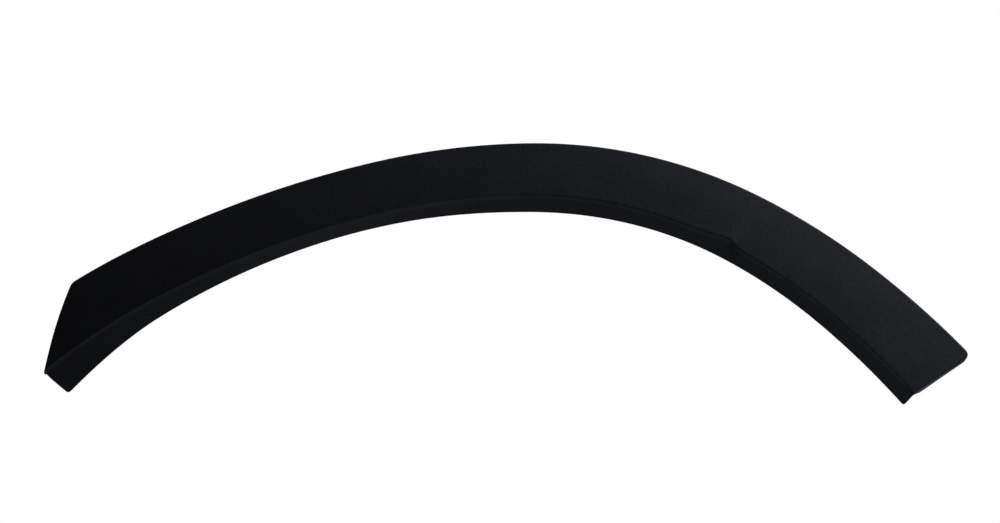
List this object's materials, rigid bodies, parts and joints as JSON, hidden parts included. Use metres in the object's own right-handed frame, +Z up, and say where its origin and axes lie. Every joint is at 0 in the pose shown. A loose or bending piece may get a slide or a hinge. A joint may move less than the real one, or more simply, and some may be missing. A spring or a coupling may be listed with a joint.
{
  "type": "wheel arch trim",
  "caption": "Black moulded plastic trim for the edge of a car's wheel arch, with a stepped lip, one slanted end, a small kink in its lower edge, and push-in clips behind.",
  "frame": {"origin": "on the axis of the crown locating pin, where its shoulder meets the outer face of the body panel", "axes": "+X towards the front of the car, +Y into the body, square to its side, +Z up, as fitted on the car's left side"},
  "size_m": [0.8606, 0.0659, 0.249],
  "materials": {
    "black_plastic": "moulded in colour, fine even grain, low sheen",
    "natural_nylon": "smooth natural nylon",
    "foam": "closed-cell foam, dull"
  },
  "bodies": {
    "root": {"moulding": "black_plastic", "edge_seal": "foam", "clip_1": "natural_nylon", "clip_2": "natural_nylon", "clip_3": "natural_nylon", "clip_4": "natural_nylon", "clip_5": "natural_nylon", "clip_6": "natural_nylon", "clip_7": "natural_nylon", "clip_8": "natural_nylon", "clip_ring_1": "foam", "clip_ring_2": "foam", "clip_ring_3": "foam", "clip_ring_4": "foam", "clip_ring_5": "foam", "clip_ring_6": "foam", "clip_ring_7": "foam", "clip_ring_8": "foam"}
  },
  "joints": []
}
